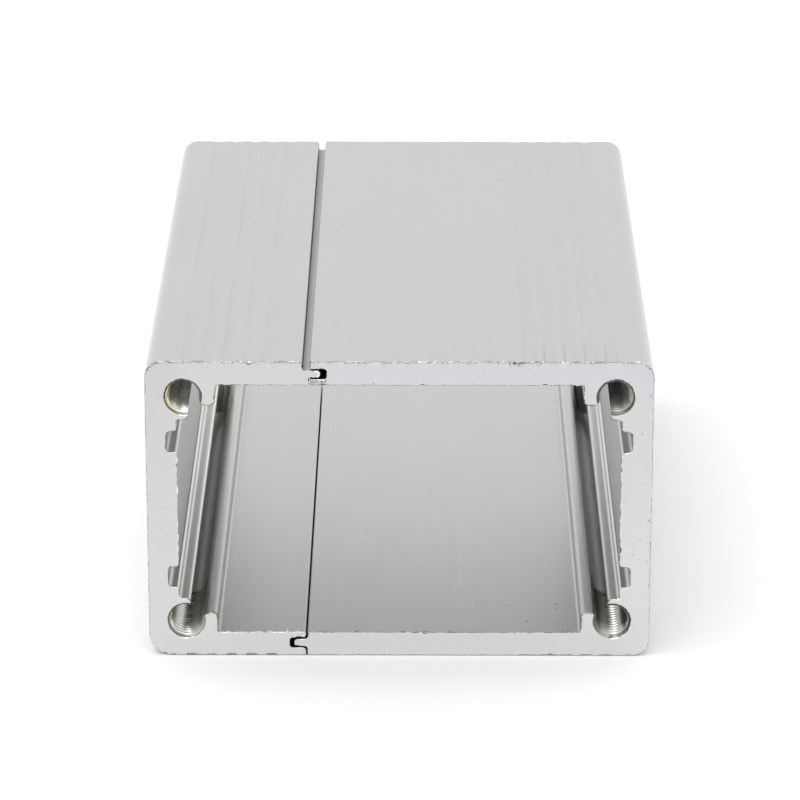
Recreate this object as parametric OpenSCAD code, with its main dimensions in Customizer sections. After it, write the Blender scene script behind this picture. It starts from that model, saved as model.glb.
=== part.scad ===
// Split extruded aluminium enclosure, open at both ends.
// Two lengths of extrusion, a narrow shell and a wide shell, close round a board:
// each has a side wall with half of the roof and half of the floor, and they meet
// in a tongue and groove along the roof and another along the floor.
// X runs across, Y along the extrusion and Z up, in millimetres.
// The origin is at the middle of the underside.

/* [Enclosure] */
// Width over both shells
body_w = 40; // [34:0.5:80]
// Height from underside to roof
body_h = 25; // [20:0.5:60]
// Length of the extrusion
body_l = 60; // [24:1:150]
// Radius of the four long outer corners
corner_r = 1.4; // [0.6:0.1:1.8]

/* [Walls] */
// Thickness of the side walls
side_wall = 2.45; // [2.2:0.05:3]
// Thickness of the roof and the floor
flat_wall = 2; // [1.9:0.05:3]
// Radius in the corners where a rib or a web leaves its wall
root_r = 0.2; // [0.1:0.05:0.4]

/* [Seam] */
// Width of the narrow shell, from its side to the seam in the floor
narrow_w = 12.6; // [11.8:0.1:18]
// How far the seam in the roof lies beyond the one in the floor
seam_stagger = 0.35; // [0:0.05:1]
// Running gap between the butting faces of the seam
seam_gap = 0.1; // [0.05:0.01:0.2]
// Thickness of the lip outside the groove
outer_lip = 0.65; // [0.5:0.05:0.8]
// Height of the groove
groove_h = 0.85; // [0.7:0.05:0.9]
// Depth of the groove behind its lips
groove_depth = 1.3; // [1:0.05:1.6]
// Clearance above and below the tongue
tongue_clear = 0.12; // [0.05:0.01:0.2]
// Space left at the tip of the tongue in the roof
roof_tip_space = 0.5; // [0.2:0.05:0.6]
// Space left at the tip of the tongue in the floor
floor_tip_space = 0.35; // [0.2:0.05:0.6]
// Width of the open line between the shells along the roof
slit_w = 0.55; // [0.3:0.05:0.8]
// Radius at the tip of a tongue and in the bottom of a groove
tip_r = 0.22; // [0.1:0.01:0.24]
// Radius on the lips of the groove in the roof
roof_lip_r = 0.1; // [0.05:0.01:0.2]
// Radius on the lips of the groove in the floor, and at the root of its tongue
floor_lip_r = 0.28; // [0.1:0.01:0.3]
// Radius on the long edge beside the open line
slit_edge_r = 0.25; // [0.1:0.05:0.4]

/* [Screw ports] */
// Distance of a port's centre from both outer faces
port_in = 3; // [2.8:0.05:3.4]
// Diameter of the port as extruded
port_core_d = 2.5; // [2:0.1:2.6]
// Diameter of the port where it is tapped
port_tap_d = 3; // [2.7:0.1:3.2]
// Depth of the tapped length at each end
tap_depth = 9; // [4:0.5:11]
// Width of the rib on the cavity side of a port
rib_w = 1.1; // [0.9:0.05:1.4]
// Height of the rib above the outer face
rib_h = 3.7; // [3.5:0.05:3.9]
// Radius on the rib's tip
rib_tip_r = 0.35; // [0.1:0.05:0.4]
// Metal between a tapped port and the flank of its rib
rib_skin = 1; // [0.8:0.05:1.3]
// Reach of the web from the outer side face
web_reach = 3.35; // [3.2:0.05:3.5]
// Height of the web's far face above the outer face
web_h = 4.9; // [4.7:0.05:5.2]
// Radius on the web's tip
web_tip_r = 0.25; // [0.1:0.05:0.4]

/* [Board slots] */
// Height of a slot, for a board of 1.6
slot_h = 1.75; // [1.7:0.05:2]
// Depth of a slot into the side wall
slot_depth = 0.85; // [0.5:0.05:1.1]
// Distance of a slot's centre line from the nearer outer face
slot_from_face = 6.75; // [6.5:0.05:7.5]
// Radius in the bottom of a slot
slot_r = 0.35; // [0.1:0.05:0.4]
// Bevel on the edges of a slot's mouth
slot_bevel = 0.15; // [0.05:0.05:0.3]

/* [Shallow flutes] */
// Number of flutes on each flat face of each shell
flute_count = 5; // [1:1:5]
// Distance from one flute to the next
flute_pitch = 1.6; // [1:0.05:1.6]
// Width of a flute
flute_w = 0.8; // [0.3:0.05:0.9]
// Depth of a flute
flute_depth = 0.12; // [0.05:0.01:0.25]
// Distance of the first flute from the outer side face
flute_inset = 3; // [2:0.1:3.4]

/* [Hidden] */
$fn = 64;

// How far a cut runs past the metal it opens, and a joined shape into its neighbour
overrun = 1;
weld = 0.1;

rib_out = port_in + port_tap_d / 2 + rib_skin;
rib_in = rib_out - rib_w;
half_gap = seam_gap / 2;
narrow_floor = narrow_w - half_gap;
narrow_roof = narrow_w + seam_stagger - half_gap;
wide_floor = body_w - narrow_w - half_gap;
wide_roof = body_w - narrow_w - seam_stagger - half_gap;
tongue_low = outer_lip + tongue_clear;
tongue_h = groove_h - 2 * tongue_clear;

// A bar that stands on the X axis, w wide and l long, with its far corners rounded
module rounded_bar(w, l, r) {
  square([w, l - r]);
  translate([r, 0])
    square([w - 2 * r, l]);
  for (x = [r, w - r])
    translate([x, l - r])
      circle(r);
}

// The same bar laid along +X from the Y axis, its lower edge at y = 0
module rounded_bar_along_x(w, l, r) {
  translate([0, w])
    rotate(-90)
      rounded_bar(w, l, r);
}

// What lies between a square corner at the origin and an arc that touches both its sides.
// Added in a hollow corner it is a fillet, and cut from a solid corner it rounds the edge.
module corner_arc(r) {
  difference() {
    translate([-weld, -weld])
      square(r + weld);
    translate([r, r])
      circle(r);
  }
}

// Each section below is half a shell, drawn from one outer corner: x runs inwards from
// the side face, and y runs up from the outer face of the floor. The roof's is turned over.

// The metal round a port: the rounded outer edge, the rib and the web
module port_metal() {
  translate([corner_r, corner_r])
    circle(corner_r);
  translate([corner_r, 0])
    square([rib_in + rib_w / 2 - corner_r, rib_h - rib_tip_r]);
  translate([rib_in, 0])
    rounded_bar(rib_w, rib_h, rib_tip_r);
  translate([rib_out, flat_wall])
    corner_arc(root_r);
  translate([0, port_in])
    rounded_bar_along_x(web_h - port_in, web_reach, web_tip_r);
  translate([side_wall, web_h])
    corner_arc(root_r);
}

// A board slot, cut outwards from the cavity, with its mouth bevelled
module board_slot() {
  low = slot_from_face - slot_h / 2;
  high = slot_from_face + slot_h / 2;
  translate([side_wall + overrun, low])
    rotate(90)
      rounded_bar(slot_h, slot_depth + overrun, slot_r);
  polygon([
    [side_wall - slot_bevel, low],
    [side_wall + weld, low - slot_bevel - weld],
    [side_wall + weld, high + slot_bevel + weld],
    [side_wall - slot_bevel, high]
  ]);
}

// The shallow flutes in the outer face
module flutes() {
  for (i = [0 : flute_count - 1])
    translate([flute_inset + i * flute_pitch, -overrun])
      square([flute_w, flute_depth + overrun]);
}

// Half a shell before its seam is cut, as far as x = reach
module plain_half(reach) {
  difference() {
    union() {
      translate([0, corner_r])
        square([side_wall, body_h / 2 + weld - corner_r]);
      translate([corner_r, 0])
        square([reach - corner_r, flat_wall]);
      port_metal();
    }
    translate([port_in, port_in])
      circle(d = port_core_d);
    board_slot();
    flutes();
  }
}

// A half whose edge at x = reach has the groove, with rounded lips
module grooved_half(reach, lip_r) {
  difference() {
    plain_half(reach);
    translate([reach + overrun, outer_lip])
      rotate(90)
        rounded_bar(groove_h, groove_depth + overrun, tip_r);
    for (y = [outer_lip, outer_lip + groove_h])
      translate([reach, y])
        rotate(y > outer_lip ? 90 : 180)
          corner_arc(lip_r);
    translate([reach, 0])
      rotate(90)
        corner_arc(lip_r);
  }
}

// A half whose edge at x = reach has the tongue. An open line wider than the running gap
// sets the shoulder outside the tongue back by the difference.
module tongued_half(reach, tip_space, open_w) {
  set_back = open_w - seam_gap;
  difference() {
    plain_half(reach);
    if (set_back > 0) {
      translate([reach - set_back, -overrun])
        square([set_back + overrun, tongue_low + overrun]);
      translate([reach - set_back, 0])
        rotate(90)
          corner_arc(slit_edge_r);
    }
  }
  translate([reach - overrun, tongue_low])
    rounded_bar_along_x(tongue_h, overrun + seam_gap + groove_depth - tip_space, tip_r);
  if (set_back <= 0)
    for (y = [tongue_low, tongue_low + tongue_h])
      translate([reach, y])
        rotate(y > tongue_low ? 0 : -90)
          corner_arc(floor_lip_r);
}

// Carries a section along the whole length
module extrusion() {
  rotate([90, 0, 0])
    linear_extrude(height = body_l, center = true)
      children();
}

module at_roof() {
  translate([0, 0, body_h])
    mirror([0, 0, 1])
      children();
}

// The four tapped port ends of one shell
module tapped_ends() {
  for (end = [-1, 1])
    for (z = [port_in, body_h - port_in])
      translate([port_in, end * (body_l + overrun - tap_depth) / 2, z])
        rotate([90, 0, 0])
          cylinder(d = port_tap_d, h = tap_depth + overrun, center = true);
}

// A shell with its side face at x = 0, from the sections of its floor half and its roof half
module shell() {
  difference() {
    union() {
      extrusion()
        children(0);
      at_roof()
        extrusion()
          children(1);
    }
    tapped_ends();
  }
}

module narrow_shell() {
  color("lightgray")
    translate([-body_w / 2, 0, 0])
      shell() {
        grooved_half(narrow_floor, floor_lip_r);
        tongued_half(narrow_roof, roof_tip_space, slit_w);
      }
}

module wide_shell() {
  color("silver")
    translate([body_w / 2, 0, 0])
      mirror([1, 0, 0])
        shell() {
          tongued_half(wide_floor, floor_tip_space, seam_gap);
          grooved_half(wide_roof, roof_lip_r);
        }
}

narrow_shell();
wide_shell();
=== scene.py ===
# %% [markdown]
# # A split extruded aluminium enclosure
# The real object is two lengths of aluminium extrusion that close round a circuit board.
# Each was pushed through a die, sawn to length and tapped at its four port ends, so every
# surface of it has one of three finishes: drawn satin skin, sawn end, or cut thread.
# The lesson makes each shell as one surface: a section carried along a line, with the
# thread and the rough sawn edges worked into the same grid of points.

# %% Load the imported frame
import math

import bpy
import numpy as np
from mathutils import Matrix, Vector
from mathutils.bvhtree import BVHTree
from mathutils.geometry import tessellate_polygon


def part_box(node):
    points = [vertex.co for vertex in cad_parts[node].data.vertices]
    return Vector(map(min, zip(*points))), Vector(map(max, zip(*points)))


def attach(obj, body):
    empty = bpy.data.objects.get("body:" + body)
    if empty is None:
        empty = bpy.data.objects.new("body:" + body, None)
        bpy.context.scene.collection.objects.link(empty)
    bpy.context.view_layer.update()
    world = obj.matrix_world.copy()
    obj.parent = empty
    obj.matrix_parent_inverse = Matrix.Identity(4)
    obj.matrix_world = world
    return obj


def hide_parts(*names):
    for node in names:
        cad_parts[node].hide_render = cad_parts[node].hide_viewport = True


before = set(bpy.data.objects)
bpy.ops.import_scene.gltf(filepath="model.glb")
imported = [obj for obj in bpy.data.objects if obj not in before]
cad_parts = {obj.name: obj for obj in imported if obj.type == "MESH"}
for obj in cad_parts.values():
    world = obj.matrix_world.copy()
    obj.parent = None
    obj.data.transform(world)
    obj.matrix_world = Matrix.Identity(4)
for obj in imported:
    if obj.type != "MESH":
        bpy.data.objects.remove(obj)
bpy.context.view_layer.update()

MM = 0.001

# %% [markdown]
# ## Sizes
# Outer sizes are read from the two CAD nodes. Places in the section are in millimetres, as
# (u, v) from the nearest outer corner: u runs inwards from the side face and v inwards from
# the roof or the floor. One quarter of the section is then enough to describe, and the
# others differ only in their seams and in one worn corner. The flutes are shallower here
# than in the CAD solids.

# %% Outer sizes from the frame
narrow_lo, narrow_hi = (np.array(p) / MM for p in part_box("narrow_shell"))
_, wide_hi = (np.array(p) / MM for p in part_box("wide_shell"))
LEFT, RIGHT = narrow_lo[0], wide_hi[0]
FRONT, BACK = narrow_lo[1], narrow_hi[1]
ROOF = narrow_hi[2]
LENGTH = BACK - FRONT
print(f"width {RIGHT - LEFT:.2f}, length {LENGTH:.2f}, height {ROOF:.2f} mm")

# %% Sizes of the section
# Radii and lengths in millimetres. The lower left corner is worn rounder than the others.
CORNER_R = 1.4
WORN_CORNER_R = 1.9
SIDE_WALL = 2.45
FLAT_WALL = 2.0
PORT = np.array([3.0, 3.0])
CORE_R = 1.25
THREAD_R = 1.5
THREAD_PITCH = 0.5
TAP_DEPTH = 9.0
FLUTE_START, FLUTE_PITCH, FLUTE_W = 3.0, 1.6, 0.8
FLUTE_DEPTH, FLUTE_SLOPE = 0.06, 0.2
FLUTES = 5
# The radius of a corner that looks sharp, and the x where the narrow shell's floor ends
SHARP = 0.04
NARROW_FLOOR_END = -7.4
print("ports at", PORT, "mm, thread", 2 * THREAD_R, "mm across, walls", SIDE_WALL, FLAT_WALL, "mm")


# %% [markdown]
# ## The camera
# A long lens stands well back, a little to the right and twenty degrees above the object,
# so the four long edges only just run together. Its frame is built from three directions
# at right angles: right, up and back.

# %% Camera
# Place, lens and sensor are in millimetres, the nearest and farthest views in metres
CAMERA_AT = (1.43, -347.93, 137.95)
PITCH, YAW, ROLL = math.radians(20.07), math.radians(-0.247), math.radians(0.012)
LENS, SENSOR = 194.13, 36.0
NEAREST, FARTHEST = 0.01, 20.0


def add_camera(location, pitch, yaw, roll, lens):
    """Looks along +Y turned by yaw, down by pitch, and is then rolled about its own axis."""
    ahead = np.array([math.sin(yaw) * math.cos(pitch), math.cos(yaw) * math.cos(pitch), -math.sin(pitch)])
    right = np.array([math.cos(yaw), -math.sin(yaw), 0.0])
    up = np.cross(right, ahead)
    rolled_right = math.cos(roll) * right + math.sin(roll) * up
    rolled_up = math.cos(roll) * up - math.sin(roll) * right
    data = bpy.data.cameras.new("camera")
    data.lens, data.sensor_width = lens, SENSOR
    data.clip_start, data.clip_end = NEAREST, FARTHEST
    camera = bpy.data.objects.new("camera", data)
    turn = Matrix(np.column_stack([rolled_right, rolled_up, -ahead]).tolist()).to_4x4()
    camera.matrix_world = Matrix.Translation(Vector(location) * MM) @ turn
    bpy.context.scene.collection.objects.link(camera)
    bpy.context.scene.camera = camera
    return camera


camera = add_camera(CAMERA_AT, PITCH, YAW, ROLL, LENS)
print("camera at", [round(c, 4) for c in camera.location])


# %% [markdown]
# ## Shader maths in plain expressions
# Node trees are easier to read as formulas. A Value wraps one output socket, and adding or
# multiplying Values adds the Math nodes. A Finish holds one material, and its node method
# adds any other node: first its settings, then the values or links of its sockets.

# %% Value and Finish
class Value:
    """One output socket. Arithmetic on it adds Math nodes."""

    def __init__(self, finish, socket):
        self.finish, self.socket = finish, socket

    def math(self, operation, *terms):
        return self.finish.math(operation, *terms)

    def __add__(self, other):
        return self.math("ADD", self, other)

    def __radd__(self, other):
        return self.math("ADD", other, self)

    def __sub__(self, other):
        return self.math("SUBTRACT", self, other)

    def __rsub__(self, other):
        return self.math("SUBTRACT", other, self)

    def __mul__(self, other):
        return self.math("MULTIPLY", self, other)

    def __rmul__(self, other):
        return self.math("MULTIPLY", other, self)

    def __truediv__(self, other):
        return self.math("DIVIDE", self, other)

    def __pow__(self, other):
        return self.math("POWER", self, other)

    def fract(self):
        return self.math("FRACT", self)

    def abs(self):
        return self.math("ABSOLUTE", self)

    def clip(self):
        return self.math("MINIMUM", self.math("MAXIMUM", self, 0.0), 1.0)

    def above(self, low, high):
        """0 below low and 1 above high, with a smooth step between them."""
        settings = {"interpolation_type": "SMOOTHSTEP"}
        return self.finish.node("ShaderNodeMapRange", settings, {0: self, 1: low, 2: high, 3: 0.0, 4: 1.0})

    def between(self, low, high, soft):
        """1 from low to high, falling to 0 over a distance of soft outside them."""
        return self.above(low - soft, low) * (1 - self.above(high, high + soft))


class Finish:
    """One material and its nodes."""

    def __init__(self, name):
        self.material = bpy.data.materials.new(name)
        self.material.use_nodes = True
        self.tree = self.material.node_tree
        self.tree.nodes.clear()

    def node(self, kind, settings=None, inputs=None, output=0):
        """Adds one node, with its settings and with a constant or a link for each input."""
        made = self.tree.nodes.new(kind)
        for name, value in (settings or {}).items():
            setattr(made, name, value)
        for key, value in (inputs or {}).items():
            if isinstance(value, Value):
                self.tree.links.new(value.socket, made.inputs[key])
            else:
                made.inputs[key].default_value = value
        return Value(self, made.outputs[output]) if made.outputs else made

    def math(self, operation, *terms):
        return self.node("ShaderNodeMath", {"operation": operation}, dict(enumerate(terms)))

    def place(self):
        """Object coordinates in millimetres."""
        at = self.node("ShaderNodeTexCoord", output="Object")
        return self.stretch(at, (1 / MM, 1 / MM, 1 / MM))

    def stretch(self, vector, scale):
        return self.node("ShaderNodeVectorMath", {"operation": "MULTIPLY"}, {0: vector, 1: scale})

    def parts(self, vector):
        first = self.node("ShaderNodeSeparateXYZ", inputs={0: vector})
        outputs = first.socket.node.outputs
        return [Value(self, outputs[i]) for i in range(3)]

    def noise(self, vector, scale, detail=3.0, roughness=0.55):
        inputs = {"Vector": vector, "Scale": scale, "Detail": detail, "Roughness": roughness}
        return self.node("ShaderNodeTexNoise", inputs=inputs)

    def mix(self, factor, first, second):
        settings = {"data_type": "RGBA", "clamp_factor": True}
        return self.node("ShaderNodeMix", settings, {0: factor, 6: first, 7: second}, output=2)

    def tint(self, colour, amount):
        """The colour times a grey of that amount."""
        grey = self.node("ShaderNodeCombineColor", inputs={0: amount, 1: amount, 2: amount})
        settings = {"data_type": "RGBA", "blend_type": "MULTIPLY"}
        return self.node("ShaderNodeMix", settings, {0: 1.0, 6: colour, 7: grey}, output=2)

    def bump(self, height, distance, strength=1.0, normal=None):
        inputs = {"Strength": strength, "Distance": distance * MM, "Height": height}
        if normal is not None:
            inputs["Normal"] = normal
        return self.node("ShaderNodeBump", inputs=inputs)

    def done(self, **sockets):
        """Adds the shader, with constants set on its own sockets, and the output."""
        inputs = {name.replace("_", " "): value for name, value in sockets.items()}
        shader = self.node("ShaderNodeBsdfPrincipled", inputs=inputs)
        self.node("ShaderNodeOutputMaterial", inputs={"Surface": shader})
        return self.material


# %% [markdown]
# ## Floor and light
# Extrusions are shown in a light tent: a pale floor that runs out of sight, white all round
# and one large soft lamp overhead, so that the metal has something bright to reflect from
# every side and its shadow is only a faint one where it stands.

# %% Floor
FLOOR_HALF = 3.0
# Just under the object, so that the two never share a plane
FLOOR_Z = -0.00002


def flat_square(name, half, z):
    """Four corners at plus and minus half, level at z."""
    mesh = bpy.data.meshes.new(name)
    corners = [(-half, -half, z), (half, -half, z), (half, half, z), (-half, half, z)]
    mesh.from_pydata(corners, [], [(0, 1, 2, 3)])
    made = bpy.data.objects.new(name, mesh)
    bpy.context.scene.collection.objects.link(made)
    return made


floor = flat_square("floor", FLOOR_HALF, FLOOR_Z)
paper = Finish("pale_paper")
paper_cloud = paper.noise(paper.place(), 0.02, 2.0)
paper_colour = paper.mix(paper_cloud, (0.93, 0.93, 0.93, 1.0), (0.95, 0.95, 0.95, 1.0))
floor.data.materials.append(
    paper.done(Base_Color=paper_colour, Roughness=0.9, Specular_IOR_Level=0.1)
)

# %% World and lamp
WORLD_LIGHT = 1.0
LAMP_AT, LAMP_SIZE, LAMP_POWER = (-0.25, -0.15, 1.1), 0.9, 4.4

world = bpy.data.worlds.new("tent")
world.use_nodes = True
world.node_tree.nodes["Background"].inputs["Color"].default_value = (1.0, 1.0, 1.0, 1.0)
world.node_tree.nodes["Background"].inputs["Strength"].default_value = WORLD_LIGHT
bpy.context.scene.world = world
bpy.context.scene.view_settings.view_transform = "Standard"
bpy.context.scene.view_settings.look = "None"


def add_lamp(name, location, size, power):
    """A square area lamp that looks at the middle of the object."""
    data = bpy.data.lights.new(name, "AREA")
    data.shape, data.size, data.energy = "SQUARE", size, power
    lamp = bpy.data.objects.new(name, data)
    lamp.location = location
    aim = Vector((0, 0, ROOF * MM / 2)) - lamp.location
    lamp.rotation_euler = aim.to_track_quat("-Z", "Y").to_euler()
    bpy.context.scene.collection.objects.link(lamp)
    return lamp


add_lamp("overhead", LAMP_AT, LAMP_SIZE, LAMP_POWER)
print("light: world", WORLD_LIGHT, "and one lamp of", LAMP_POWER, "W overhead")


# %% [markdown]
# ## Corners and straight runs
# The section is drawn as straight runs with a radius at each corner. Each corner becomes
# the arc that touches both its runs, and each run is divided so that no step is longer
# than a set spacing. Both steps use one trick: repeat each item as many times as it needs
# points, and number the copies.

# %% Outlines from corners
# Length of a step round an arc, and the fewest and most steps that an arc may have
ARC_STEP, FEWEST, MOST = 0.07, 2, 14


def numbered(counts):
    """For counts 2 and 3: the owner of each copy, 0 0 1 1 1, and its number, 0 1 0 1 2."""
    owner = np.repeat(np.arange(len(counts)), counts)
    first = np.cumsum(counts) - counts
    return owner, np.arange(counts.sum()) - first[owner]


def rounded_path(corners):
    """Corners are (u, v, radius). The arc in a corner starts radius * tan(turn / 2) before
    it and turns about a centre at a right angle to the incoming run. The ends stay."""
    points, radius = corners[:, :2], corners[1:-1, 2]
    runs = np.diff(points, axis=0)
    heading = np.arctan2(runs[:, 1], runs[:, 0])
    turn = (np.diff(heading) + np.pi) % (2 * np.pi) - np.pi
    side = np.sign(turn)
    before = radius * np.tan(np.abs(turn) / 2)
    along = np.stack([np.cos(heading[:-1]), np.sin(heading[:-1])], 1)
    left = np.stack([-along[:, 1], along[:, 0]], 1)
    start = points[1:-1] - along * before[:, None]
    centre = start + left * (side * radius)[:, None]
    steps = np.clip(np.ceil(radius * np.abs(turn) / ARC_STEP), FEWEST, MOST).astype(int)
    owner, k = numbered(steps + 1)
    angle = turn[owner] * k / steps[owner]
    arm = -left * (side * radius)[:, None]
    cos, sin = np.cos(angle), np.sin(angle)
    arm = arm[owner]
    swung = np.stack([arm[:, 0] * cos - arm[:, 1] * sin, arm[:, 0] * sin + arm[:, 1] * cos], 1)
    return np.vstack([points[:1], centre[owner] + swung, points[-1:]])


def divided(path, spacing):
    """Each run longer than the spacing is cut into equal steps."""
    runs = np.diff(path, axis=0)
    counts = np.maximum(1, np.ceil(np.hypot(runs[:, 0], runs[:, 1]) / spacing)).astype(int)
    owner, k = numbered(counts)
    inner = path[owner] + runs[owner] * (k / counts[owner])[:, None]
    return np.vstack([inner, path[-1:]])


# %% [markdown]
# ## One quarter of the section
# From the middle of the inner side wall the outline meets the board slot, the web, the
# screw port, the rib, the seam, and then returns along the fluted outer face and round the
# outer corner. The port is left out here, because its radius changes along the length.

# %% The web side and the rib side of a port
WALL_TO_WEB = np.array([
    (SIDE_WALL, ROOF / 2, 0),
    (SIDE_WALL, 7.775, SHARP), (2.30, 7.625, SHARP), (1.60, 7.625, 0.35),
    (1.60, 5.875, 0.35), (2.30, 5.875, SHARP), (SIDE_WALL, 5.725, SHARP),
    (SIDE_WALL, 4.90, 0.2), (3.35, 4.90, 0.25), (3.35, 4.20, 0),
])
RIB = [(4.20, 3.33, 0), (4.53, 3.70, 0.75), (5.50, 3.70, 0.38), (5.50, 2.0, 0.2)]
WORN_RIB = [(4.20, 3.30, 0), (4.85, 3.70, 0.6), (5.50, 3.70, 0.34), (5.50, 2.0, 0.2)]


def outer_face(edge, corner):
    """The flat outer face from the seam edge back to the outer corner: up and down each
    flute in turn, then the corner radius and half of the side face."""
    first = FLUTE_START + FLUTE_PITCH * np.arange(FLUTES)[::-1]
    lip, foot = -0.5 * FLUTE_SLOPE, 0.5 * FLUTE_SLOPE
    u = np.stack([first + FLUTE_W - lip, first + FLUTE_W - foot, first + foot, first + lip], 1).ravel()
    v = np.tile([0.0, FLUTE_DEPTH, FLUTE_DEPTH, 0.0], FLUTES)
    flutes = np.stack([u, v, np.full(len(u), 2 * SHARP)], 1)
    return np.vstack([edge, flutes, [(0, 0, corner), (0, ROOF / 2, 0)]])


# %% The four seam edges
NARROW_FLOOR = [
    (12.55, 2.0, 0.16), (12.55, 1.5, 0.28), (11.25, 1.5, 0.22),
    (11.25, 0.65, 0.22), (12.55, 0.65, 0.28), (12.55, 0.0, 0.28),
]
NARROW_ROOF = [
    (12.90, 2.0, 0.06), (12.90, 1.38, SHARP), (13.80, 1.38, 0.22),
    (13.80, 0.77, 0.22), (12.45, 0.77, SHARP), (12.45, 0.0, 0.25),
]
WIDE_FLOOR = [
    (27.35, 2.0, 0.1), (27.35, 1.38, 0.28), (28.40, 1.38, 0.22),
    (28.40, 0.77, 0.22), (27.35, 0.77, 0.28), (27.35, 0.0, 0.06),
]
WIDE_ROOF = [
    (27.00, 2.0, 0.06), (27.00, 1.5, 0.1), (25.70, 1.5, 0.22),
    (25.70, 0.65, 0.22), (27.00, 0.65, 0.1), (27.00, 0.0, 0.1),
]

# %% [markdown]
# ## The thread
# A tap cuts a V groove that climbs one pitch for each turn. Seen from the port's axis it is
# a radius that depends on two things only, the angle round the port and the depth from the
# end face: a triangular wave whose phase is depth divided by pitch, less the share of the
# turn. A countersink widens the mouth, and the last turns fade into the core.

# %% Radius of a port
MOUTH_R = 1.54
CONE_SLOPE = 0.9
# Share of the groove's height that is cut off flat at its crest, and again at its root
GROOVE_FLAT = 0.125
FADING_TURNS = 2
# Direction from a port's centre to its opening, which looks at the cavity
OPENING = np.pi / 4


def port_radius(angle, depth, hand):
    """The core radius plus the height of the groove. The groove is a triangular wave of
    depth / pitch - angle / turn, clipped flat at its crest and root, and it fades out over
    the last two turns. The countersink is a cone that starts at the mouth radius. The mouth
    is torn by three sines of the angle, most of all on the side away from its opening."""
    phase = (depth / THREAD_PITCH - hand * angle / (2 * np.pi)) % 1.0
    wave = np.clip((1 + 2 * GROOVE_FLAT) * np.abs(2 * phase - 1) - GROOVE_FLAT, 0, 1)
    fade = np.clip((TAP_DEPTH - depth) / (FADING_TURNS * THREAD_PITCH), 0, 1)
    groove = (THREAD_R - CORE_R) * wave * fade
    torn = 0.02 * np.sin(3 * angle + 1) + 0.025 * np.sin(8 * angle + 2.6) + 0.035 * np.sin(19 * angle)
    torn = torn * (0.5 - 0.5 * np.cos(angle - OPENING))
    cone = MOUTH_R + torn - CORE_R - CONE_SLOPE * depth
    return CORE_R + np.maximum(groove, cone)


# %% [markdown]
# ## Rough sawn edges
# A saw leaves each end with a small, uneven edge break, nicks where a tooth caught and a
# fine burr pushed over into the cavity. All three are offsets of the outline at right
# angles to itself, and they die away within a few tenths of a millimetre of the end.

# %% Uneven values along an outline
def uneven(distance, step, seed):
    """Seeded random numbers from 0 to 1 at every step along the outline, joined smoothly."""
    rng = np.random.default_rng(seed)
    knots = rng.random(int(distance[-1] / step) + 3)
    at = distance / step
    low = np.floor(at).astype(int)
    blend = at - low
    blend = blend * blend * (3 - 2 * blend)
    return knots[low] * (1 - blend) + knots[low + 1] * blend


def run_along(outline):
    """The distance of each point from the first, along a closed outline."""
    step = np.hypot(*np.diff(outline, axis=0, append=outline[:1]).T)
    return np.cumsum(step) - step


def hills(position, spots):
    """The sum of smooth hills: each spot is its place, its half width and its height."""
    place, width, height = np.array(spots).T
    return (height * np.exp(-((position[:, None] - place) / width) ** 2)).sum(1)


# %% The faces of the section
# Inner faces lie further than this inside the outer ones, and the roof's edge is this high
INSIDE, ROOF_EDGE = 0.6, 0.5
# Where the ribs are, measured inwards from the side face and from the roof or the floor
RIB_FROM, RIB_TO, RIB_HEIGHT = 3.2, 5.6, 5.0
# The part of a side wall between its board slots lies within this of the middle height
BETWEEN_SLOTS = 4.6
# A point lies on a face when it is nearer than this to its plane
CLOSE = 0.05


def faces(outline):
    """For each named face of the section, which points of the outline lie on it. The roof
    is its outer face and the edges of that, and inner is every face inside the skin."""
    across, up = np.abs(outline[:, 0]), np.abs(outline[:, 1] - ROOF / 2)
    inner = (across < RIGHT - INSIDE) & (up < ROOF / 2 - INSIDE)
    flat = inner & (across < RIGHT - RIB_TO) & (np.abs(up - (ROOF / 2 - FLAT_WALL)) < CLOSE)
    low = outline[:, 1] < ROOF / 2
    in_rib = (across > RIGHT - RIB_TO) & (across < RIGHT - RIB_FROM) & (up > ROOF / 2 - RIB_HEIGHT)
    in_wall = (np.abs(across - (RIGHT - SIDE_WALL)) < CLOSE) & (up < BETWEEN_SLOTS)
    return {
        "roof": outline[:, 1] > ROOF - ROOF_EDGE,
        "inner": inner,
        "floor": flat & low,
        "narrow_floor": flat & low & (outline[:, 0] < NARROW_FLOOR_END),
        "ceiling": flat & ~low,
        "rib": inner & in_rib,
        "wall": inner & in_wall,
    }


# %% Room for an offset
# The share of its free room that a point may use
SAFE_SHARE = 0.6


def room(outline, side):
    """How far each point may move, into the metal for side 1 or into the air for side -1,
    before the outline would cross itself at a corner that turns that way. Beside a corner
    the room grows with the distance from it."""
    step = np.roll(outline, -1, 0) - outline
    length = np.hypot(*step.T)
    heading = np.arctan2(step[:, 1], step[:, 0])
    turn = (heading - np.roll(heading, 1) + np.pi) % (2 * np.pi) - np.pi
    radius = (length + np.roll(length, 1)) / 2 / np.maximum(side * turn, 1e-6)
    along = np.cumsum(length) - length
    apart = np.abs(along[:, None] - along)
    apart = np.minimum(apart, length.sum() - apart)
    return SAFE_SHARE * (radius + apart).min(1)


# %% Edge break, nicks and burr
# The worst nicks in the front edge of the roof: x, half width and depth
ROOF_NICKS = [
    (-11.8, 0.2, 0.2), (-9.9, 0.1, 0.1), (-17.8, 0.5, 0.03), (-7.6, 0.25, 0.08), (-6.8, 0.15, 0.1),
    (9.2, 0.5, 0.06), (10.8, 0.25, 0.06), (12.9, 0.12, 0.07), (15.1, 0.1, 0.08), (18.6, 0.3, 0.06),
]
# The least edge break, and what waves, crumbs and ribs add to it at most
LEAST_BREAK, WAVES, CRUMBS, RIB_WEAR = 0.012, 0.03, 0.06, 0.04
# Rare chips add what a random value has above the first number, times the second
CHIP_FROM, CHIP_SIZE = 0.82, 0.6
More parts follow.
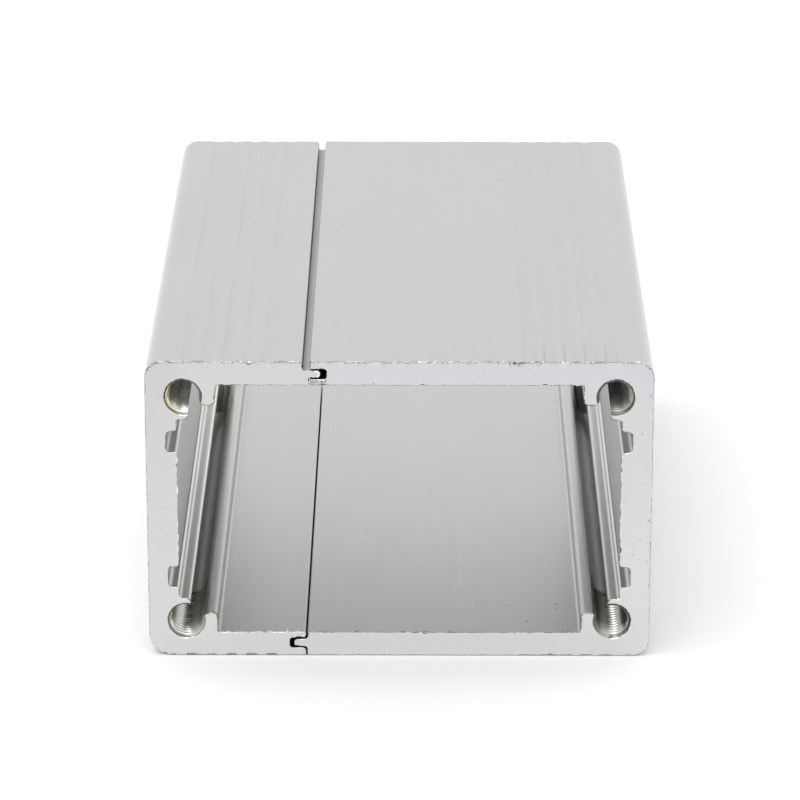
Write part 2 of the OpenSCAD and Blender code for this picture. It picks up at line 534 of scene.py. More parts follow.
# The greatest reach of the burr. On the narrow shell's floor the first two add up.
BURR_REACH = {"narrow_floor": 0.28, "floor": 0.18, "ceiling": 0.06, "rib": 0.1, "wall": 0.13}
# The back end's share of that reach, the burr's depth behind the end face and its thickness
BACK_SHARE, BURR_DEPTH, BURR_THICK = 0.5, 0.04, 0.05
# The edge break grows from nothing at a port's mouth to its full size over this distance
PORT_FADE = 0.25


def edge_offset(outline, depth, seed, front):
    """Negative into the metal, positive into the air, in millimetres, for every row of
    depth and every point of the outline: less the edge break, less the nicks, plus the burr.
    The edge break fades out towards the ports, whose mouths are countersunk."""
    distance = run_along(outline)
    on = faces(outline)
    waves, crumbs = uneven(distance, 0.35, seed), uneven(distance, 0.16, seed + 1)
    size = LEAST_BREAK + WAVES * waves + CRUMBS * crumbs ** 3 + RIB_WEAR * on["rib"]
    size = size + np.clip(uneven(distance, 0.4, seed + 2) - CHIP_FROM, 0, 1) * CHIP_SIZE
    if front:
        size = size + hills(outline[:, 0], ROOF_NICKS) * on["roof"]
    reach = sum(BURR_REACH[name] * on[name] for name in BURR_REACH) * (1.0 if front else BACK_SHARE)
    teeth = uneven(distance, 0.09, seed + 4)
    burr = np.clip(1.3 * teeth * uneven(distance, 0.3, seed + 3) - 0.25, 0, 1) * reach
    size, burr = np.minimum(size, room(outline, 1)), np.minimum(burr, room(outline, -1))
    from_side, from_flat = RIGHT - np.abs(outline[:, 0]), ROOF / 2 - np.abs(outline[:, 1] - ROOF / 2)
    from_port = np.hypot(from_side - PORT[0], from_flat - PORT[1])
    size = size * np.clip((from_port - THREAD_R) / PORT_FADE, 0, 1)
    d = depth[:, None]
    return burr * np.exp(-((d - BURR_DEPTH) / BURR_THICK) ** 2) * (d > 0) - np.clip(size - d, 0, None)


# %% [markdown]
# Light and shade along the end edges are painted as tone. Each point carries a number that the drawn
# skin's colour is multiplied by: 1 away from the end edges, less in the broken edge and the nicks, which
# get painted shade, and more where painted highlights glint on the edge and its burr.

# %% Tone of the surface
# Painted glints in the front edge of the roof: x, half width and strength
ROOF_EDGE_GLINTS = [
    (-17.1, 0.1, 0.9), (-13.9, 0.1, 0.7), (-13.5, 0.08, 0.9), (-12.4, 0.14, 0.9), (-10.6, 0.1, 0.7),
    (-10.1, 0.08, 0.9), (-8.4, 0.08, 0.6), (-7.5, 0.1, 0.9), (11.3, 0.12, 0.9), (12.95, 0.12, 0.8),
    (14.6, 0.14, 0.9), (16.2, 0.1, 0.8), (17.6, 0.05, 0.5), (19.2, 0.12, 0.9),
]
# Dark stretches of the same edge
DARK_RUNS = [
    (-18.2, 0.9, 0.35), (-15.6, 1.4, 0.2), (-11.0, 0.7, 0.25), (-9.1, 0.8, 0.4), (-6.3, 0.6, 0.3),
    (7.6, 0.8, 0.2), (9.2, 0.6, 0.55), (10.9, 0.4, 0.5), (12.1, 0.5, 0.3), (13.8, 0.6, 0.3),
    (15.5, 0.5, 0.3), (17.2, 0.9, 0.3),
]
# What the end edges add to the tone of inner and of outer faces, and of three named ones: a painted
# highlight along the inner edges, the narrow shell's inner floor and the ribs, and painted shade along the
# outer edges and the wide shell's inner floor
INNER_EDGE_LIGHT, OUTER_EDGE_SHADE = 0.2, -0.25
FACE_MARKS = {"floor": -0.4, "narrow_floor": 0.15, "rib": 0.1}
# The tone of the edges fades over this depth
MARK_DEPTH = 0.07
# Painted shade in the bottom of a nick: this much darker for each millimetre, from the given depth on
NICK_SHADE, NICK_FROM = 4, 0.04
DARKEST, BRIGHTEST = 0.25, 1.45
# Added to the seed at the back end, so that it wears differently
BACK_SEED = 40


def tone(outline, depth, seed):
    """1, less the dark and plus the bright parts of both end edges. The bright parts are painted
    highlights and glints, the outer edges get painted shade, and so do the bottoms of the nicks.
    """
    distance = run_along(outline)
    on = faces(outline)
    # Painted highlight along the inner edges, painted shade along the outer ones
    mark = np.where(on["inner"], INNER_EDGE_LIGHT, OUTER_EDGE_SHADE)
    for name, value in FACE_MARKS.items():
        mark[on[name]] = value
    made = np.ones((len(depth), len(outline)))
    for front, along, own in ((True, depth, seed), (False, LENGTH - depth, seed + BACK_SEED)):
        dark = 0.5 * np.clip(uneven(distance, 0.5, own + 20) * 1.6 - 0.5, 0, 1)
        # Painted glints: bright at random along the edge, and in specks on the narrow shell's inner floor
        # and the side walls
        bright = np.clip(uneven(distance, 0.25, own + 21) - 0.72, 0, 1) * 2.2
        speck = np.clip(uneven(distance, 0.08, own + 22) - 0.5, 0, 1)
        bright = bright + 1.6 * speck * (on["narrow_floor"] | on["wall"])
        if front:
            spots = 0.3 * bright + hills(outline[:, 0], ROOF_EDGE_GLINTS)
            bright = np.where(on["roof"], spots, bright)
            dark = dark + hills(outline[:, 0], DARK_RUNS) * on["roof"]
        change = mark + bright - dark * np.where(on["rib"], 2.0, 1.0)
        made = made + change * np.exp(-(along / MARK_DEPTH) ** 2)[:, None]
    # Painted shade in the bottom of each nick
    nick = hills(outline[:, 0], ROOF_NICKS) * on["roof"] - depth[:, None] - NICK_FROM
    made = made - NICK_SHADE * np.clip(nick, 0, None)
    return np.clip(made, DARKEST, BRIGHTEST)


# %% [markdown]
# ## A shell as one closed surface
# The grid has the section's points across and rows of depth along. Most of the outline
# needs few rows, because it is straight between its two ends, but the ports need ten rows
# to a pitch. So each port is a finer strip of its own, and where it meets the coarse grid
# every coarse step is joined to the fine one by a fan of triangles, which leaves no gap.

# %% Rows along the length
def mirrored_rows(depths):
    """The same depths measured from the front face and from the back face."""
    return np.unique(np.round(np.concatenate([depths, LENGTH - depths]), 5))


COARSE_DEPTHS = np.array([0, 0.015, 0.03, 0.05, 0.08, 0.12, 0.17, 0.25, 0.5, 1.5, 4, 9, 16, 23, 30.0])
ROWS_TO_A_PITCH = 10
# From just behind the end face to just past the tapped length
THREAD_DEPTHS = np.arange(0.05, TAP_DEPTH + 0.3, THREAD_PITCH / ROWS_TO_A_PITCH)
COARSE = mirrored_rows(COARSE_DEPTHS)
FINE = mirrored_rows(np.concatenate([COARSE_DEPTHS, THREAD_DEPTHS]))
print("rows: coarse", len(COARSE), "fine", len(FINE))

# %% The port strip
# The strip reaches this far from the port's centre, with this many steps round the port
# and on each of its two lips
BLOCK_R, ARC_STEPS, LIP_STEPS = 1.62, 44, 3
# Where the search for the ends of the arc starts, and its number of steps
FIRST_GUESS_R, TRIES = 1.4, 4


def at_distance(path, reach):
    """The point of a path at each distance from the port's centre."""
    far = np.hypot(*(path - PORT).T)
    order = np.argsort(far)
    return np.stack([np.interp(reach, far[order], path[order, i]) for i in (0, 1)], -1)


def port_strip(web, rib, depth, hand):
    """Rows of depth by points from the web, round the port and onto the rib. The two ends
    of the arc are where the thread's own radius meets the web and the rib."""
    ends = []
    for path in (web, rib):
        radius = np.full(len(depth), FIRST_GUESS_R)
        for _ in range(TRIES):
            point = at_distance(path, radius)
            angle = np.arctan2(point[:, 1] - PORT[1], point[:, 0] - PORT[0])
            radius = port_radius(angle, depth, hand)
        ends.append((radius, angle))
    (web_r, web_a), (rib_r, rib_a) = ends
    share = np.linspace(0, 1, ARC_STEPS + 1)
    angle = web_a[:, None] + (rib_a + 2 * np.pi - web_a)[:, None] * share
    radius = port_radius(angle, depth[:, None], hand[:, None])
    arc = PORT + radius[..., None] * np.stack([np.cos(angle), np.sin(angle)], -1)
    lip = np.arange(LIP_STEPS) / LIP_STEPS
    web_lip = at_distance(web, BLOCK_R + (web_r - BLOCK_R)[:, None] * lip)
    rib_lip = at_distance(rib, BLOCK_R + (rib_r - BLOCK_R)[:, None] * lip)[:, ::-1]
    return np.concatenate([web_lip, arc, rib_lip], 1)


# %% The outline of one half
SPACING = 0.12
FINE_SPACING = 0.05
# The inner floor and ceiling have the finer spacing up to this distance from the side face
BURRED_END = 13.0
# Extra points of the coarse paths that the strip's search may use
OVERLAP = 4


def thinned(path):
    """Leaves out points of straight runs that stand closer than the spacing, which is finer
    on the inner floor and ceiling near the side face, where the burr is."""
    runs = np.diff(path, axis=0)
    length = np.hypot(runs[:, 0], runs[:, 1])
    burred = (np.abs(path[:-1, 1] - FLAT_WALL) < 0.01) & (path[:-1, 0] < BURRED_END)
    heading = np.unwrap(np.arctan2(runs[:, 1], runs[:, 0]))
    straight = np.abs(np.diff(heading)) < 1e-4
    cells = np.cumsum(length / np.where(burred, FINE_SPACING, SPACING))
    cell = np.floor(np.concatenate([[0], cells]))
    keep = np.ones(len(path), bool)
    keep[1:-1] = ~straight | (np.diff(cell)[:-1] > 0)
    return path[keep]


def half_section(seam, depth_front, hand):
    """Three lists of points: the coarse path up to the port, the port strip at every fine
    row, and the coarse path from the port to the middle of the side face. The hand of the
    thread, 1 or -1, is turned round at the back end, where depth runs the other way."""
    rib, corner = (WORN_RIB, WORN_CORNER_R) if seam is NARROW_FLOOR else (RIB, CORNER_R)
    to_web = divided(rounded_path(WALL_TO_WEB), FINE_SPACING)
    outer = outer_face(np.array(seam), corner)
    from_rib = divided(rounded_path(np.array([*rib, *outer])), FINE_SPACING)
    web_far = np.hypot(*(to_web - PORT).T)
    rib_far = np.hypot(*(from_rib - PORT).T)
    last = len(to_web) - np.argmax(web_far[::-1] > BLOCK_R)
    first = np.argmax(rib_far > BLOCK_R)
    depth = np.minimum(depth_front, LENGTH - depth_front)
    hand = np.where(depth_front < LENGTH / 2, hand, -hand)
    strip = port_strip(to_web[last - OVERLAP:], from_rib[:first + OVERLAP], depth, hand)
    return thinned(to_web[:last]), strip, thinned(from_rib[first:])


print("half outline:", [len(p) if p.ndim == 2 else p.shape for p in half_section(WIDE_FLOOR, FINE, 1)])


# %% Joining grids
def outward(points):
    """Unit normals of closed outlines that run with the metal on their left."""
    tangent = np.roll(points, -1, axis=-2) - np.roll(points, 1, axis=-2)
    normal = np.stack([tangent[..., 1], -tangent[..., 0]], -1)
    return normal / np.maximum(np.hypot(*np.moveaxis(normal, -1, 0)), 1e-9)[..., None]


def grid_quads(ids):
    """One quad for each cell of a grid of vertex numbers."""
    return np.stack([ids[:-1, :-1], ids[1:, :-1], ids[1:, 1:], ids[:-1, 1:]], -1).reshape(-1, 4)


def fan_triangles(coarse_ids, fine_ids, flip):
    """Joins a coarse column to a fine one. In each coarse step the first half of the fine
    edges meet the near coarse point, the rest the far one, and one triangle fills between."""
    place = np.searchsorted(FINE, COARSE)
    step = np.searchsorted(place, np.arange(len(FINE) - 1), side="right") - 1
    middle = (place[:-1] + place[1:] + 1) // 2
    near = np.arange(len(FINE) - 1) < middle[step]
    tip = np.where(near, coarse_ids[step], coarse_ids[step + 1])
    thin = np.stack([fine_ids[:-1], fine_ids[1:], tip], -1)
    fill = np.stack([coarse_ids[:-1], fine_ids[middle], coarse_ids[1:]], -1)
    fan = np.concatenate([thin, fill])
    return fan[:, ::-1] if flip else fan


# %% Which finish each cell has
SKIN, SAWN, THREAD = 0, 1, 2


def tapped_cells(shape):
    """The thread on the cells of a port strip that lie within the tapped depth and between
    its two lips, and the skin on the rest."""
    depth = np.minimum(FINE, LENGTH - FINE)[:-1, None]
    column = np.arange(shape[1] - 1)[None]
    cut = (depth < TAP_DEPTH - 0.1) & (column >= LIP_STEPS) & (column < shape[1] - 1 - LIP_STEPS)
    return np.where(cut, THREAD, SKIN).ravel()


def join_blocks(ids):
    """A list for quads and a list for triangles, each of pairs: vertex numbers and finishes.
    They are the cells of each block and the joint between it and the next. A block with
    the fine rows is a port strip."""
    quads, tris = [], []
    for own, following in zip(ids, ids[1:] + ids[:1]):
        fine, next_fine = len(own) == len(FINE), len(following) == len(FINE)
        cells = grid_quads(own)
        quads.append((cells, tapped_cells(own.shape) if fine else np.full(len(cells), SKIN)))
        if fine == next_fine:
            joint = grid_quads(np.stack([own[:, -1], following[:, 0]], 1))
            quads.append((joint, np.full(len(joint), SKIN)))
        else:
            columns = (following[:, 0], own[:, -1]) if fine else (own[:, -1], following[:, 0])
            joint = fan_triangles(*columns, flip=not fine)
            tris.append((joint, np.full(len(joint), SKIN)))
    return quads, tris


# %% The points of a block
# Added to the seed for the edge at the back end
BACK_EDGE_SEED = 50


def end_effects(outline, rows, seed):
    """The offset and the tone of each point of the outline at each row."""
    front = edge_offset(outline, rows, seed, True)
    back = edge_offset(outline, LENGTH - rows, seed + BACK_EDGE_SEED, False)
    return front + back, tone(outline, rows, seed)


def block_points(block, normal, offset):
    """The section at each row, moved along its normal by the offset. On a port strip the
    offset fades out over the two lips, so that the thread keeps its form."""
    fine = block.ndim == 3
    rows = FINE if fine else COARSE
    section = block if fine else np.broadcast_to(block, (len(rows), *block.shape))
    if fine:
        ends = np.linspace(1, 0, LIP_STEPS + 1), np.linspace(0, 1, LIP_STEPS + 1)
        offset = offset * np.concatenate([ends[0], np.zeros(ARC_STEPS - 1), ends[1]])
    flat = section + normal * offset[..., None]
    y = np.broadcast_to((FRONT + rows)[:, None], flat.shape[:2])
    return np.stack([flat[..., 0], y, flat[..., 1]], -1)


def end_cap(name, coords, loop, front):
    """Fills one end face with triangles that look outwards, and prints the area inside the
    outline and the area filled, which are the same if the outline doesn't cross itself."""
    x, z = coords[loop, 0], coords[loop, 2]
    cap = loop[np.array(tessellate_polygon([[Vector((a, b, 0.0)) for a, b in zip(x, z)]]))]
    area = abs((x * np.roll(z, -1) - np.roll(x, -1) * z).sum()) / 2
    sides = coords[cap[:, 1]] - coords[cap[:, 0]], coords[cap[:, 2]] - coords[cap[:, 0]]
    turn = np.cross(*sides)[:, 1]
    print(name, "end face, mm2:", round(area, 4), "filled:", round(np.abs(turn).sum() / 2, 4))
    wrong = turn > 0 if front else turn < 0
    cap[wrong] = cap[wrong][:, ::-1]
    return cap


# %% One mesh from many blocks
# Edges that turn by more than this many degrees are shaded sharp
SHARP_ANGLE = 32


def make_mesh(name, coords, quads, tris, tones):
    """Puts points, quads and triangles with their finishes, and tones, into a mesh."""
    four, three = (np.concatenate([cells for cells, _ in pairs]) for pairs in (quads, tris))
    kinds = np.concatenate([finish for _, finish in quads + tris])
    mesh = bpy.data.meshes.new(name)
    corners = np.concatenate([four.ravel(), three.ravel()]).astype(np.int32)
    totals = np.concatenate([np.full(len(four), 4), np.full(len(three), 3)]).astype(np.int32)
    starts = (np.cumsum(totals) - totals).astype(np.int32)
    mesh.vertices.add(len(coords))
    mesh.vertices.foreach_set("co", coords.astype(np.float32).ravel())
    mesh.loops.add(len(corners))
    mesh.loops.foreach_set("vertex_index", corners)
    mesh.polygons.add(len(totals))
    mesh.polygons.foreach_set("loop_start", starts)
    mesh.polygons.foreach_set("material_index", kinds.astype(np.int32))
    mesh.update(calc_edges=True)
    mesh.attributes.new("tone", "FLOAT", "POINT").data.foreach_set("value", tones.astype(np.float32))
    mesh.validate()
    mesh.polygons.foreach_set("use_smooth", np.ones(len(mesh.polygons), bool))
    mesh.set_sharp_from_angle(angle=math.radians(SHARP_ANGLE))
    made = bpy.data.objects.new(name, mesh)
    bpy.context.scene.collection.objects.link(made)
    print(name, "vertices", len(coords), "triangles", 2 * len(four) + len(three))
    return made


def assemble(name, blocks, seed):
    """Numbers the vertices block by block, joins neighbours and fills the two ends."""
    outline = np.concatenate([b if b.ndim == 2 else b[0] for b in blocks])
    columns = np.cumsum([0] + [b.shape[-2] for b in blocks])
    normal = outward(outline)
    coarse, fine = (end_effects(outline, rows, seed) for rows in (COARSE, FINE))
    coords, tones, ids, start = [], [], [], 0
    for block, low, high in zip(blocks, columns[:-1], columns[1:]):
        offset, shade = fine if block.ndim == 3 else coarse
        points = block_points(block, normal[low:high], offset[:, low:high])
        count = points.shape[0] * points.shape[1]
        coords.append(points.reshape(-1, 3))
        tones.append(shade[:, low:high].ravel())
        ids.append(start + np.arange(count).reshape(points.shape[:2]))
        start += count
    coords = np.concatenate(coords)
    quads, tris = join_blocks(ids)
    for row, front in ((0, True), (-1, False)):
        cap = end_cap(name, coords, np.concatenate([own[row] for own in ids]), front)
        tris.append((cap, np.full(len(cap), SAWN)))
    return make_mesh(name, coords * MM, quads, tris, np.concatenate(tones))


def build_shell(name, side, floor_seam, roof_seam, seed):
    """The floor half runs from the inner wall to the outer face and the roof half back
    again, so that together they close. Side is -1 for the left shell and 1 for the right."""
    side_x = LEFT if side < 0 else RIGHT
    blocks = []
    for seam, roof in ((floor_seam, False), (roof_seam, True)):
        placed = []
        for part in half_section(seam, FINE, -side if roof else side):
            x = side_x - side * part[..., 0]
            z = ROOF - part[..., 1] if roof else part[..., 1]
            placed.append(np.stack([x, z], -1))
        if roof:
            placed = [p[..., ::-1, :] for p in placed[::-1]]
            # The halves share their first and last points, so the roof leaves its own out
            placed[0], placed[2] = placed[0][1:], placed[2][:-1]
        blocks += placed
    if side < 0:
        blocks = [b[..., ::-1, :] for b in blocks[::-1]]
    return assemble(name, blocks, seed)


# %% [markdown]
# ## Three finishes
# The drawn skin is satin, with faint lines along the length from the die and a very fine grain. The sawn
# ends scatter more and are a little brighter, with shallow saw marks. The cut thread is smoothest, with
# painted highlights on its ridges and painted shade in its roots. Some other light and shade is painted
# into the colours too. Every pattern is laid out in millimetres on Object coordinates, so it keeps its
# scale on both shells.

# %% Patterns that the finishes share
def specks(finish, at, cell, size):
    """1 at the middle of small round spots, falling to 0 at their edge: one spot in some of
    the cells of a Voronoi pattern."""
    inputs = {"Vector": at, "Scale": 1 / cell}
    near = finish.node("ShaderNodeTexVoronoi", {"feature": "F1"}, inputs, output="Distance")
    which = finish.node("ShaderNodeTexVoronoi", {"feature": "F1"}, inputs, output="Color")
    chosen = finish.parts(which)[0]
    reach = chosen.above(0.45, 1.0) * (size / cell)
    return (1 - near / (reach + 0.001)).clip()


def port_distance(x, z):
    """Millimetres from the axis of the nearest of the four ports."""
    across = x.abs() - (RIGHT - PORT[0])
    up = (z - ROOF / 2).abs() - (ROOF / 2 - PORT[1])
    return (across * across + up * up) ** 0.5


def rim(x, z):
    """1 on the outline of the section, falling to 0 one corner radius inside it."""
    across = ((x.abs() - (RIGHT - CORNER_R)) * (1 / CORNER_R)).clip()
    up = (((z - ROOF / 2).abs() - (ROOF / 2 - CORNER_R)) * (1 / CORNER_R)).clip()
    return (across * across + up * up) ** 0.5


def on_stretches(x, stretches, soft):
    """1 on each of several stretches of x, given as pairs."""
    low, high = stretches[0]
    total = x.between(low, high, soft)
    for low, high in stretches[1:]:
        total = total + x.between(low, high, soft)
    return total


# %% Lines and marks of the drawn skin
def die_lines(skin, at, x, y, z):
    """Faint drag lines along both edges of every flute, with a slightly darker floor between
    them. They wander, and come and go along the length. The line nearer to -X is darker."""
    drift = skin.noise(skin.stretch(at, (0.5, 0.16, 0.5)), 1.0, 2.0)
    side = RIGHT - x.abs() + (drift - 0.5) * 0.3
    turn = (side - FLUTE_START) / FLUTE_PITCH
    from_start = ((turn + 0.5).fract() - 0.5).abs() * FLUTE_PITCH
    from_end = (turn.fract() - FLUTE_W / FLUTE_PITCH).abs() * FLUTE_PITCH
    right_half = x.above(-0.1, 0.1)
    lines = (1 - from_start.above(0.0, 0.22)) * (1 - 0.7 * right_half)
    lines = lines + (1 - from_end.above(0.0, 0.18)) * (0.3 + 0.7 * right_half)
    where = side.between(2.8, 10.4, 0.1) * (z - ROOF / 2).abs().above(ROOF / 2 - 0.2, ROOF / 2 - 0.15)
    come = skin.noise(skin.stretch(at, (0.9, 0.09, 0.9)), 1.0, 2.0).above(0.42, 0.62)
    near = (1 - y.above(FRONT, FRONT + 6)) * (0.15 + 0.85 * right_half) * (1 - side.above(9.6, 9.9))
    floor = turn.fract().between(0.08, 0.42, 0.08)
    return where * (lines * (0.12 + 0.5 * come + 1.8 * near) + 0.12 * floor)


def floor_knocks(skin, at, x, y, z):
    """Small dark knocks near the front of the wide shell's floor."""
    knocks = specks(skin, at, 0.8, 0.2) * x.above(5, 8) * (1 - z.above(2.5, 3))
    return knocks * (1 - y.above(FRONT + 5, FRONT + 11)) * (1 - x.above(14.5, 15))


def seam_shade(x, z):
    """Painted shade on the faces that look into the seam of the roof, most of all the one nearer to -X."""
    return x.between(-7.62, -6.95, 0.05) * z.between(23.4, 24.85, 0.1) * (1 - 0.6 * x.above(-7.6, -6.9))


def side_walls(x, z):
    """The inner faces of the two side walls, from web to web."""
    from_side = (RIGHT - x.abs()).between(SIDE_WALL - 0.15, SIDE_WALL + 0.15, 0.05)
    return from_side * (1 - (z - ROOF / 2).abs().above(7.7, 7.8))


# %% Drawn skin
SKIN_COLOUR = (0.572, 0.577, 0.561, 1.0)


def worn(finish, colour, light):
    """The colour times a varying light and times the tone that the surface carries, both of which hold
    painted light and shade as well as grain and marks.
    """
    carried = finish.node("ShaderNodeAttribute", {"attribute_name": "tone"}, output="Fac")
    return finish.tint(colour, light * carried)


def drawn_skin():
    """Streaks along the length, grain, cloud, pits and flecks. The bores of the ports on +X, the side
    walls and the inner face of the lower web on -X are lighter with painted light, and the faces in the
    roof's seam have painted shade."""
    skin = Finish("drawn_satin_aluminium")
    at = skin.place()
    x, y, z = skin.parts(at)
    streak = skin.noise(skin.stretch(at, (2.2, 0.03, 2.2)), 1.0, 3.0, 0.5)
    grain = skin.noise(at, 7.0, 2.0, 0.6)
    cloud = skin.noise(skin.stretch(at, (1.0, 0.5, 1.0)), 0.12, 2.0)
    pits = specks(skin, at, 2.6, 0.2)
    flecks = specks(skin, skin.stretch(at, (1.0, -1.0, 1.0)), 3.4, 0.2)
    bore = 1 - port_distance(x, z).above(1.5, 1.75)
    left = 1 - x.above(-1, 1)
    web = x.between(-16.75, -16.5, 0.05) * z.between(4.1, 4.95, 0.05)
    light = 1 + (streak - 0.5) * 0.03 + (grain - 0.5) * 0.07 + (cloud - 0.5) * 0.06
    # Painted light on the inner side walls, more on -X, on the inner face of the lower web on -X and in
    # the bores of the ports on +X
    light = light + side_walls(x, z) * (0.14 + 0.12 * left) + 0.5 * web + 0.17 * bore * (1 - left)
    # The last term is painted shade in the roof's seam
    light = light - 0.3 * pits + 0.25 * flecks - 0.6 * seam_shade(x, z)
    light = light - 0.1 * die_lines(skin, at, x, y, z) - 0.8 * floor_knocks(skin, at, x, y, z)
    rough = 0.30 + (grain - 0.5) * 0.12 + (streak - 0.5) * 0.06 + 0.03 * bore
    normal = skin.bump(grain - pits * 2, 0.005)
    normal = skin.bump(streak, 0.006, normal=normal)
    colour = worn(skin, SKIN_COLOUR, light)
    return skin.done(Base_Color=colour, Metallic=1.0, Roughness=rough, Normal=normal)


# %% Marks along the sawn edges
# Dark dashes along the lower edge of the narrow shell's floor, in x
DASHES = [(-17.0, -16.2), (-13.8, -13.1), (-12.2, -11.4), (-10.6, -9.9)]
# The middle of the tongue's tip in the roof: x and z
TONGUE_TIP = (-6.42, 23.925)


def edge_specks_and_glints(sawn, at, speckle, x, z):
    """The light that the sawn edges lose. The outer ones have dark specks and bright specks, which are
    painted glints, most of all along the roof."""
    stretch = sawn.noise(sawn.stretch(at, (1.0, 1.0, 0.2)), 0.8, 2.0)
    dark = speckle.above(0.46, 0.56) * stretch.above(0.36, 0.56)
    bright = (1 - speckle.above(0.33, 0.38)) * (1 - stretch.above(0.45, 0.6))
    edge, roof = rim(x, z), z.above(ROOF - 1.2, ROOF - 0.6)
    worst = x.between(8.7, 9.6, 0.2) + 0.7 * x.between(10.6, 11.1, 0.2)
    worst = worst * z.above(ROOF - 0.5, ROOF - 0.25)
    smear = z.above(ROOF - 0.8, ROOF - 0.2) * x.above(-7, -5) * (stretch - 0.5)
    dashes = on_stretches(x, DASHES, 0.06) * (1 - z.above(0.12, 0.22))
    # The bright specks along the roof's edge are painted glints
    loss = edge.above(0.82, 0.93) * roof * (0.55 * dark - 0.5 * bright)
    loss = loss + worst * 0.4 * speckle.above(0.45, 0.55)
    loss = loss + edge.above(0.9, 0.96) * (1 - roof) * 0.35 * dark + smear * 0.4
    return loss + dashes * (0.35 + 0.5 * speckle.above(0.4, 0.6))


def tongue_glint(x, z):
    """A bright half ring on the +X side of the tongue's tip in the roof."""
    across, up = x - TONGUE_TIP[0], z - TONGUE_TIP[1]
    out = (across * across + up * up) ** 0.5
    return out.between(0.14, 0.34, 0.04) * x.above(-6.5, -6.4)


# %% Sawn ends
SAWN_COLOUR, VIOLET_CAST = (0.64, 0.64, 0.638, 1.0), (0.645, 0.645, 0.67, 1.0)


def sawn_end():
    """The saw marks run across. The face is lightest at the bottom, a painted light gradient, and scuffed
    beside the +X edge, and its edges carry painted glints. The wide shell's roof has a violet cast, and
    the lip under its groove crumbs."""
    sawn = Finish("sawn_aluminium")
    at = sawn.place()
    x, _, z = sawn.parts(at)
    marks = sawn.noise(sawn.stretch(at, (0.4, 1.0, 5.0)), 1.0, 3.0, 0.6)
    mottle = sawn.noise(at, 2.2, 4.0, 0.65)
    speckle = sawn.noise(at, 5.5, 2.0, 0.6)
    pits = specks(sawn, at, 1.8, 0.16)
    scuffs = specks(sawn, at, 0.6, 0.14) * x.above(17.6, 18.4) * z.above(4, 8) * (1 - z.above(22, 23.5))
    lip = x.between(-6.92, -5.7, 0.08) * z.between(23.05, 23.42, 0.06)
    # Painted light: lighter towards the bottom of the face
    light = 1.085 - z * 0.145 / ROOF - 0.045 * (1 - x.above(-18.5, -16.5))
    light = light + (marks - 0.5) * 0.05 + (mottle - 0.5) * 0.06 - 0.4 * pits - 0.6 * scuffs
    light = light - edge_specks_and_glints(sawn, at, speckle, x, z)
    light = light - lip * (0.1 + 0.5 * speckle.above(0.45, 0.6)) + 0.45 * tongue_glint(x, z)
    cast = z.above(20, 23.5) * x.above(-7, -5)
    colour = sawn.tint(sawn.mix(cast, SAWN_COLOUR, VIOLET_CAST), light)
    rough = 0.48 + (mottle - 0.5) * 0.2
    normal = sawn.bump(marks, 0.008)
    normal = sawn.bump(mottle, 0.01, normal=normal)
    return sawn.done(Base_Color=colour, Metallic=0.7, Roughness=rough, Normal=normal)


# %% Cut thread
THREAD_COLOUR, YELLOWED = (0.63, 0.62, 0.58, 1.0), (0.60, 0.58, 0.40, 1.0)


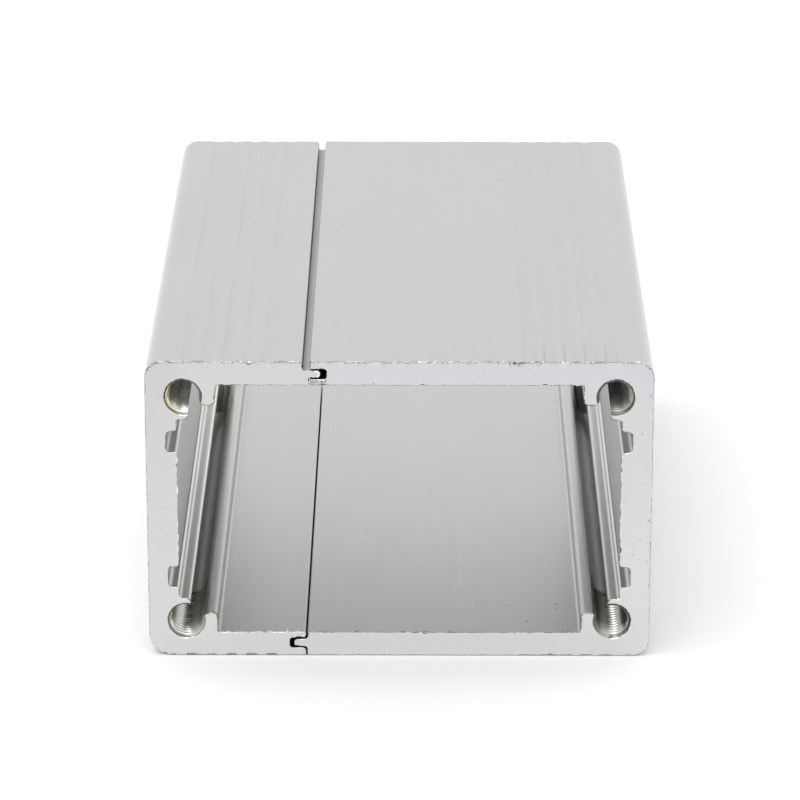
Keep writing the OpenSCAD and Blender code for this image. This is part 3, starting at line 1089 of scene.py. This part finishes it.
def cut_thread():
    """Painted highlights on the crests and painted shade in the roots, where the cutting oil has also
    stayed. The side of a port towards the cavity has painted light, lighter and more even, mostly in the
    lower ports, and so has the whole of each port at the back end. The upper port on +X has painted shade,
    and so has the lower one. The upper port on -X has painted light, with a yellowed outer side."""
    cut = Finish("tapped_aluminium")
    at = cut.place()
    x, y, z = cut.parts(at)
    mottle = cut.noise(at, 2.0, 4.0, 0.65)
    torn = cut.noise(at, 4.5, 2.0, 0.6)
    out = port_distance(x, z)
    crest = 1 - out.above(CORE_R + 0.02, THREAD_R - 0.06) + out.above(THREAD_R, THREAD_R + 0.02)
    upper, back_end = z.above(12, 13), y.above(0, 1)
    even = (1 - x.abs().above(16.5, 16.9)) * (1 - out.above(1.48, 1.5)) * (1 - 0.8 * upper)
    even = cut.math("MAXIMUM", back_end, even)
    # Painted shade in the upper port on +X
    upper_right_shade = x.above(12, 13) * upper
    shade = x.above(0, 1) * z.between(2.2, 4.8, 0.5)
    # Painted light in the upper port on -X
    clear = (1 - x.above(-1, 0)) * upper
    # Painted light, lighter and more even, towards the cavity and at the back end; painted highlights on
    # the crests and painted shade in the roots
    light = 0.32 + 0.6 * even + (0.9 - 0.85 * even) * crest
    light = light * (1 + (mottle - 0.5) * 0.6 * (1.0 - even))
    light = light * (1 + 0.2 * clear - 0.3 * upper_right_shade - 0.45 * shade)
    olive = (1 - x.above(-18.3, -17.6)) * z.above(20, 21)
    colour = cut.tint(cut.mix(olive, THREAD_COLOUR, YELLOWED), light)
    rough = 0.25 + (mottle - 0.5) * 0.2 + 0.15 * upper_right_shade + 0.2 * even
    normal = cut.bump(torn, 0.006)
    return cut.done(Base_Color=colour, Metallic=1.0, Roughness=rough, Normal=normal)


# In the order of the finish numbers: skin, sawn, thread
FINISHES = [drawn_skin(), sawn_end(), cut_thread()]

# %% Shells
# Piece, CAD node, body, side, seams of the floor and of the roof, and seed
SHELLS = [
    ("narrow_enclosure_shell", "narrow_shell", "narrow", -1, NARROW_FLOOR, NARROW_ROOF, 3),
    ("wide_enclosure_shell", "wide_shell", "wide", 1, WIDE_FLOOR, WIDE_ROOF, 11),
]
# One vertex in this many is measured against the CAD surface
SAMPLE_STEP = 97


def distance_from_cad(piece, node):
    """Millimetres from a sample of the piece's vertices to the nearest CAD surface."""
    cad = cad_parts[node].data
    tree = BVHTree.FromPolygons([v.co for v in cad.vertices], [p.vertices for p in cad.polygons])
    co = np.empty(len(piece.data.vertices) * 3, np.float32)
    piece.data.vertices.foreach_get("co", co)
    sample = co.reshape(-1, 3)[::SAMPLE_STEP]
    return np.array([tree.find_nearest(Vector(p))[3] for p in sample]) / MM


for piece_name, node, body, side, floor_seam, roof_seam, seed in SHELLS:
    piece = build_shell(piece_name, side, floor_seam, roof_seam, seed)
    for finish in FINISHES:
        piece.data.materials.append(finish)
    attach(piece, body)
    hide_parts(node)
    node + "_aluminium"
    off = distance_from_cad(piece, node)
    print(f"{piece_name}: distance from the CAD surface mean {off.mean():.3f}, most {off.max():.3f} mm")
